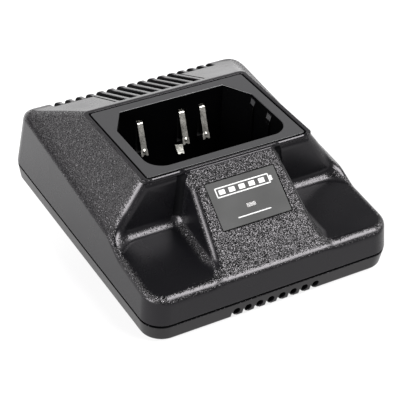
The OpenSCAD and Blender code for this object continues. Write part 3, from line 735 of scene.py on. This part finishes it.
def insert_material():
    """Satin rim plate."""
    m, nt, b = material("insert_grey")
    co = coords(nt)
    cloud = noise(nt, co, 55, 3)
    fine = noise(nt, co, 2400, 1.5)
    nt.links.new(mix_colour(nt, mix_value(nt, .5, cloud, fine), (.017, .017, .018), (.027, .027, .028)), b.inputs["Base Color"])
    nt.links.new(remap(nt, cloud, .3, .7, .33, .4), b.inputs["Roughness"])
    nt.links.new(bump(nt, fine, .00002, .4), b.inputs["Normal"])
    b.inputs["IOR"].default_value = 1.42
    return m


def pocket_shade_material():
    """Painted shade: near-black with weak specular for the inside of the pocket, where shade falls."""
    m, nt, b = material("pocket_painted_shade")
    co = coords(nt)
    cloud = noise(nt, co, 55, 3)
    fine = noise(nt, co, 2400, 1.5)
    nt.links.new(mix_colour(nt, cloud, (.0003, .0003, .0004), (.0007, .0007, .0008)), b.inputs["Base Color"])
    nt.links.new(remap(nt, fine, .3, .7, .3, .4), b.inputs["Roughness"])
    nt.links.new(bump(nt, fine, .00002, .4), b.inputs["Normal"])
    b.inputs["IOR"].default_value = 1.5
    b.inputs["Specular IOR Level"].default_value = .035
    return m


def painted_shade_material():
    """Painted shade: the housing's and cover's plastic made dull black on faces in slots, grooves, holes, the seam
    gap and inner corners, where shade falls.
    """
    m, nt, b = material("painted_shade_black")
    co = coords(nt)
    fine = noise(nt, co, 1600, 2)
    nt.links.new(mix_colour(nt, fine, (.0012, .0012, .0014), (.0026, .0026, .003)), b.inputs["Base Color"])
    nt.links.new(remap(nt, fine, .3, .7, .5, .6), b.inputs["Roughness"])
    nt.links.new(bump(nt, fine, .00002, .4), b.inputs["Normal"])
    b.inputs["Specular IOR Level"].default_value = .015
    return m


def label_material():
    """Brushed, lacquered grey plate."""
    m, nt, b = material("label_grey")
    co = coords(nt)
    sc = node(nt, "ShaderNodeVectorMath", {0: co, 1: (60.0, 2600.0, 2600.0)}, operation="MULTIPLY")
    brush = noise(nt, sc.outputs[0], 1.0, 3)
    cloud = noise(nt, co, 70, 2)
    nt.links.new(mix_colour(nt, mix_value(nt, .5, brush, cloud), (.011, .011, .0108), (.014, .014, .0137)), b.inputs["Base Color"])
    nt.links.new(remap(nt, cloud, .3, .7, .5, .56), b.inputs["Roughness"])
    nt.links.new(bump(nt, brush, .000002, .2), b.inputs["Normal"])
    b.inputs["IOR"].default_value = 1.3
    return m


def window_material():
    m, nt, b = material("window_clear")
    co = coords(nt)
    cl = noise(nt, co, 500, 3)
    nt.links.new(mix_colour(nt, cl, (.042, .038, .038), (.066, .06, .06)), b.inputs["Base Color"])
    nt.links.new(remap(nt, cl, .3, .7, .16, .26), b.inputs["Roughness"])
    nt.links.new(bump(nt, cl, .00002, .3), b.inputs["Normal"])
    b.inputs["Subsurface Weight"].default_value = .0
    b.inputs["Coat Weight"].default_value = .15
    return m


def tinned_material():
    """Dull tin, nearly white, rubbed darker in places."""
    m, nt, b = material("contact_tin")
    co = coords(nt)
    a = noise(nt, co, 900, 3, .6)
    nt.links.new(mix_colour(nt, remap(nt, a, .4, .62, 0, 1), (.12, .117, .105), (.31, .305, .275)), b.inputs["Base Color"])
    nt.links.new(remap(nt, a, .35, .65, .56, .44), b.inputs["Roughness"])
    nt.links.new(bump(nt, a, .00003, .5), b.inputs["Normal"])
    b.inputs["Metallic"].default_value = .15
    return m


def contact_material():
    """Worn nickel strip: mottled grey with bright rubbed places."""
    m, nt, b = material("contact_nickel")
    co = coords(nt)
    a = noise(nt, co, 1300, 2, .6)
    c = noise(nt, co, 350, 2)
    fac = remap(nt, mix_value(nt, .3, a, c), .38, .6, 0, 1)
    nt.links.new(mix_colour(nt, fac, (.15, .145, .13), (.78, .76, .71)), b.inputs["Base Color"])
    nt.links.new(remap(nt, a, .35, .65, .5, .24), b.inputs["Roughness"])
    nt.links.new(bump(nt, a, .00003, .6), b.inputs["Normal"])
    b.inputs["Metallic"].default_value = .9
    return m


MATS = {
    "housing_black": housing_material(),
    "cover_black": finish_plastic("cover_black", .0045, .3, 2300, .00001, (1, 1, .99), ior=1.34),
    "insert_grey": insert_material(),
    "label_grey": label_material(),
    "window_clear": window_material(),
    "led_red": speckled("led_red", (.5, .02, .015), (.7, .04, .03), .2, 300, transmission=.6),
    "contact_nickel": contact_material(),
    "inner_black": finish_plastic("inner_black", .012, .45, 1800, .00003),
    "wire_red": finish_plastic("wire_red", .3, .4, 900, .00002, (1, .06, .05)),
    "connector_white": finish_plastic("connector_white", .72, .38, 900, .00002, (1, .98, .92), .05),
    "board_green": board_material(),
    "heatsink_alu": metal("heatsink_alu", (.8, .81, .83), .34, 500, .08),
    "chip_black": speckled("chip_black", (.012, .012, .013), (.022, .022, .023), .5, 900),
    "screw_steel": metal("screw_steel", (.56, .56, .58), .32, 700, .1),
    "capacitor_sleeve": striped("capacitor_sleeve", (.012, .018, .06), (.5, .5, .52), 0, .0125, .1, .3),
    "core_ferrite": speckled("core_ferrite", (.03, .035, .03), (.055, .06, .05), .6, 500),
    "winding_copper": metal("winding_copper", (.75, .32, .12), .3, 900, .08, tarnish=(.3, .1, .04)),
    "resistor_ceramic": speckled("resistor_ceramic", (.62, .61, .56), (.75, .74, .7), .7, 400),
    "resistor_tan": striped("resistor_tan", (.6, .45, .27), (.25, .05, .02), 1, .0016, .35, .35),
    "fuse_glass": speckled("fuse_glass", (.85, .9, .88), (.95, .97, .96), .08, 200, transmission=.9),
    "foot_rubber": speckled("foot_rubber", (.012, .012, .012), (.024, .023, .022), .75, 700, depth=.00006),
}


def paint_white():
    m, nt, b = material("label_ink")
    co = coords(nt)
    a = noise(nt, co, 900, 3)
    nt.links.new(mix_colour(nt, a, (.27, .27, .267), (.33, .33, .327)), b.inputs["Base Color"])
    nt.links.new(remap(nt, a, .3, .7, .38, .5), b.inputs["Roughness"])
    nt.links.new(bump(nt, a, .000006, .4), b.inputs["Normal"])
    return m


INK = paint_white()


def second_finish(ob, mat, where):
    """Give the faces whose centre (mm) and normal pass the test a second material."""
    me = ob.data
    me.materials.append(mat)
    c = np.empty(len(me.polygons) * 3, np.float32)
    n = np.empty_like(c)
    me.polygons.foreach_get("center", c)
    me.polygons.foreach_get("normal", n)
    pick = where(c.reshape(-1, 3) * 1000, n.reshape(-1, 3))
    me.polygons.foreach_set("material_index", pick.astype(np.int32))


def dress(ob, slot, body="root", cad=()):
    ob.data.materials.clear()
    ob.data.materials.append(MATS[slot])
    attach(ob, body)
    for c in cad:
        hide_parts(c)
    return ob


# ---------------------------------------------------------------- pieces

housing = solid(
    "housing_shell", upper_housing, ((-57.2, 57.2), (-67.6, 67.6), (7.6, 48.9)), .48,
    fine=(
        ((-21.7, -21.1, .14), (21.1, 21.7, .14), (-39, -36.4, .25), (36.4, 39, .25)),
        ((-27.4, -25.8, .22), (26.1, 28.5, .22), (53.2, 53.8, .14)),
        ((8.9, 9.6, .16), (45.6, 48.1, .2)),
    ), faces=185000, attr={"grain_d": housing_grain})
dress(housing, "housing_black", "root", ["upper_housing"])
PAINTED_SHADE = painted_shade_material()


def crease(x, y, z):
    """Inner corner between the back of each scoop and the ramp's flank, whose faces get painted shade."""
    skin, t, p, u, r, parts = housing_skin(x, y, z)
    return (t < 2.3) & (p < 2.3) & (parts[5] > 3.6) & (skin > -.2) & (z < 46)


# Painted shade: the inner crease, the faces sunk into the skin (slots, grooves, holes) and the downward faces at the
# seam get the dull black.
second_finish(housing, PAINTED_SHADE, lambda c, n: crease(c[:, 0], c[:, 1], c[:, 2]) | (housing_skin(c[:, 0], c[:, 1], c[:, 2])[0] < -.2) & (c[:, 2] > 12)
              & (np.maximum(np.abs(c[:, 0]) - 38.9, np.abs(c[:, 1] - .55) - 27.8) + 48 - c[:, 2] > .5)
              | (c[:, 2] < 9.7) & (n[:, 2] < -.15))

cover = solid(
    "bottom_shell", bottom_cover, ((-57, 57), (-67.5, 67.5), (.8, 10.6)), .5,
    fine=((), ((-66.6, -63.4, .3),), ((1.0, 2.4, .2), (8.0, 8.7, .16), (9.6, 10.1, .2))), faces=110000)
dress(cover, "cover_black", "root", ["bottom_cover"])
# Painted shade: the cover's top edge inside the seam gap and the walls of the vent holes get the dull black.
second_finish(cover, PAINTED_SHADE, lambda c, n: (c[:, 2] > 8.13) | (
    (cyl(c[:, 0] - VENT_X0 - (np.clip(np.round((c[:, 0] - VENT_X0) / VENT_P + 3.5), 0, 7) - 3.5) * VENT_P, c[:, 2] - 4.25, 1.6) < 0)
    & (c[:, 1] < -58) & (n[:, 1] > -.6)))

insert = solid(
    "pocket_shell", pocket_insert, ((-37.2, 37.2), (-26.5, 26.8), (11, 48.8)), .45,
    fine=(((-36.4, -35.6, .2), (35.6, 36.4, .2)), ((-25.8, -25, .2), (25.2, 26, .2)), ((45.7, 48.1, .16),)), faces=110000)
dress(insert, "insert_grey", "root", ["pocket_insert"])
# Painted shade: the pocket's inside below the rim gets the near-black, except the upward lead-in facets of the guide
# ribs, which keep the grey.
second_finish(insert, pocket_shade_material(), lambda c, n: (c[:, 2] < 47.76)
              & ~((c[:, 2] > 43.6) & (c[:, 2] < 45.95) & (n[:, 2] > .15) & (np.abs(c[:, 0]) > 25) & (c[:, 1] > -15)))

label = solid("label_face", label_plate, ((-16.2, 16.2), (-10.4, 10.4), (-1.1, 0)), .3,
              fine=((), (), ((-1, -.1, .08),)), faces=9000, place=RAMP_FRAME)
dress(label, "label_grey", "root", ["label_plate"])

pane = solid("window_pane", window, ((-3.6, 3.6), (-5.6, 0.1), (-8.6, .2)), .14,
             fine=((), (), ((-.5, 0, .06),)), faces=14000, place=RAMP_FRAME)
dress(pane, "window_clear", "root", ["indicator_window"])

soles = solid("foot_pads", feet, ((-50.5, 50.5), (-61.5, 61.5), (-.4, 2.8)), .4,
              fine=((), (), ((-.1, .8, .12),)), faces=36000)
dress(soles, "foot_rubber", "root", ["rubber_feet"])

for name, cx in (("contact_left", -15.0), ("contact_center", 5.0), ("contact_right", 15.0)):
    where = Matrix.Translation((cx, HINGE[0], HINGE[1] - .8)) @ Matrix.Rotation(-LEAN, 4, "X")
    strip = solid(name + "_strip", blade, ((-1.9, 1.9), (-1, 1.4), (-15, .9)), .12, faces=12000, place=where)
    dress(strip, "contact_nickel", name, [name])
short = solid("contact_short_strip", short_contact, ((-2.1, 2.1), (12, 16.6), (12, 29.4)), .12, faces=12000,
              place=Matrix.Translation((.4, 0, 0)))
dress(short, "contact_nickel", "contact_short", ["contact_short"])
short.data.materials.clear()
short.data.materials.append(tinned_material())
# Painted shade: the short contact's stem below 24.5 mm gets the pocket's near-black, so it reads as lying in shade.
second_finish(short, pocket_shade_material(), lambda c, n: c[:, 2] < 24.5)


# printed mark on the label: a plain battery outline with bars, and a short rule
def print_mark():
    bm = bmesh.new()

    def bar(x0, x1, y0, y1, r):
        seg = 5
        ring = []
        for cx, cy, a0 in ((x1 - r, y1 - r, 0), (x0 + r, y1 - r, 90), (x0 + r, y0 + r, 180), (x1 - r, y0 + r, 270)):
            for i in range(seg + 1):
                a = math.radians(a0 + 90 * i / seg)
                ring.append((cx + r * math.cos(a), cy + r * math.sin(a)))
        top = [bm.verts.new((px, py, -.205)) for px, py in ring]
        low = [bm.verts.new((px, py, -.25)) for px, py in ring]
        bm.faces.new(top)
        bm.faces.new(low[::-1])
        k = len(ring)
        for i in range(k):
            bm.faces.new((top[i], low[i], low[(i + 1) % k], top[(i + 1) % k]))

    x0, x1, y0, y1 = -12.6, 11.8, 3.1, 7.3
    w = .48
    bar(x0, x1, y1 - w, y1, .25)
    bar(x0, x1, y0, y0 + w, .25)
    bar(x0, x0 + w, y0 + .1, y1 - .1, .25)
    bar(x1 - w, x1, y0 + .1, y1 - .1, .25)
    bar(x1 + .15, x1 + 1.2, 4.1, 6.1, .2)
    n = 5
    gap = (x1 - x0 - 2 * w - .9) / n
    for i in range(n):
        a = x0 + w + .9 + gap * i
        bar(a, a + gap - .9 - .9, y0 + w + .62, y1 - w - .62, .2)
    bar(-7.5, 7.5, -6.8, -6.35, .2)
    for f in bm.faces:
        f.smooth = False
    me = bpy.data.meshes.new("label_print")
    bm.normal_update()
    bm.to_mesh(me)
    bm.free()
    me.transform(RAMP_FRAME)
    me.transform(Matrix.Scale(MM, 4))
    ob = bpy.data.objects.new("label_print", me)
    scene.collection.objects.link(ob)
    ob.data.materials.append(INK)
    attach(ob, "root")
    return ob


print_mark()

# ---------------------------------------------------------------- finishes of the parts carried over

CARRIED = {
    "indicator_led": "led_red", "contact_terminals": "contact_nickel", "contact_carrier": "inner_black",
    "contact_wires": "wire_red", "wire_plug": "connector_white", "wire_socket": "connector_white",
    "main_board": "board_green", "dc_inlet_body": "inner_black", "dc_inlet_pin": "contact_nickel",
    "heat_sink": "heatsink_alu", "power_transistor": "chip_black", "transistor_screw": "screw_steel",
    "filter_capacitor": "capacitor_sleeve", "output_capacitor": "capacitor_sleeve", "choke_core": "core_ferrite",
    "choke_winding": "winding_copper", "control_chip": "chip_black", "power_resistor": "resistor_ceramic",
    "small_resistors": "resistor_tan", "rectifier_diodes": "chip_black", "fuse_tube": "fuse_glass",
    "fuse_clips": "screw_steel", "case_screws": "screw_steel", "board_screws": "screw_steel",
}
for name, slot in CARRIED.items():
    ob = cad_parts[name]
    for s in ob.material_slots:
        s.material = MATS[slot]
    if not ob.material_slots:
        ob.data.materials.append(MATS[slot])

# ---------------------------------------------------------------- floor, light, camera

bm = bmesh.new()
bmesh.ops.create_grid(bm, x_segments=8, y_segments=8, size=3.0)
me = bpy.data.meshes.new("floor")
bm.to_mesh(me)
bm.free()
floor = bpy.data.objects.new("floor", me)
scene.collection.objects.link(floor)
fm, fnt, fb = material("floor_paper")
fco = coords(fnt)
fnt.links.new(mix_colour(fnt, noise(fnt, fco, 3, 3), (.13, .128, .13), (.14, .138, .14)), fb.inputs["Base Color"])
fb.inputs["Roughness"].default_value = .9
fb.inputs["Specular IOR Level"].default_value = .1
# the sheet is lit from below as well, more toward the back left
fsep = node(fnt, "ShaderNodeSeparateXYZ", {0: fco})
glow = math_node(fnt, "ADD", math_node(fnt, "MULTIPLY", math_node(fnt, "MINIMUM", fsep.outputs[0], 0.0), -.6), math_node(fnt, "MULTIPLY", fsep.outputs[1], .8))
fb.inputs["Emission Color"].default_value = (1, 1, 1, 1)
near = remap(fnt, glow, .02, .12, .8, 1.12, True)
far = remap(fnt, fsep.outputs[1], .2, .6, 0, 1, True)
fnt.links.new(math_node(fnt, "ADD", near, far), fb.inputs["Emission Strength"])
floor.data.materials.append(fm)

world = bpy.data.worlds.new("studio")
scene.world = world
world.use_nodes = True
wn = world.node_tree
wn.nodes.clear()
wout = wn.nodes.new("ShaderNodeOutputWorld")
wbg = wn.nodes.new("ShaderNodeBackground")
wn.links.new(wbg.outputs[0], wout.inputs[0])
wdir = node(wn, "ShaderNodeTexCoord").outputs["Generated"]
wz = node(wn, "ShaderNodeSeparateXYZ", {0: wdir}).outputs[2]
ramp = wn.nodes.new("ShaderNodeValToRGB")
wn.links.new(wz, ramp.inputs[0])
stops = [(0.0, .9), (.35, .95), (.5, 1.25), (.57, 1.25), (.63, .5), (.71, .16), (1.0, .1)]
el = ramp.color_ramp.elements
while len(el) < len(stops):
    el.new(.5)
for e, (pos, v) in zip(el, stops):
    e.position = pos
    e.color = (v, v * .985, v, 1)
wn.links.new(ramp.outputs[0], wbg.inputs[0])
facing = node(wn, "ShaderNodeVectorMath", {0: wdir, 1: (.5, -.86, 0)}, operation="DOT_PRODUCT").outputs["Value"]
wn.links.new(remap(wn, facing, -.1, .7, 1.0, .4, True), wbg.inputs[1])


def softbox(name, direction, distance, width, height, radiance):
    d = Vector(direction).normalized()
    li = bpy.data.lights.new(name, "AREA")
    li.shape = "ELLIPSE"
    li.size = width
    li.size_y = height
    li.energy = radiance * math.pi * math.pi * width * height / 4
    ob = bpy.data.objects.new(name, li)
    scene.collection.objects.link(ob)
    ob.location = d * distance
    ob.rotation_euler = d.to_track_quat("Z", "Y").to_euler()
    return ob


softbox("key", (.44, -.44, .78), 1.6, .95, .95, 25.4)
softbox("side", (-.90, -.24, .342), 1.6, 1.3, .8, 23.0)

cam = bpy.data.cameras.new("camera")
cam.lens = 121.341
cam.sensor_width = 36.0
cam.sensor_fit = "HORIZONTAL"
cam.shift_x = .000536
cam.shift_y = -.00002
cam.clip_start = .02
cam.clip_end = 20
camera = bpy.data.objects.new("camera", cam)
scene.collection.objects.link(camera)
camera.matrix_world = Matrix((
    (.87106313, .26610599, -.41283972, -.23540),
    (-.49011763, .52593132, -.69511219, -.40089),
    (.03215182, .80782662, .58854262, .34751),
    (0, 0, 0, 1)))
scene.camera = camera
scene.view_settings.view_transform = "Standard"
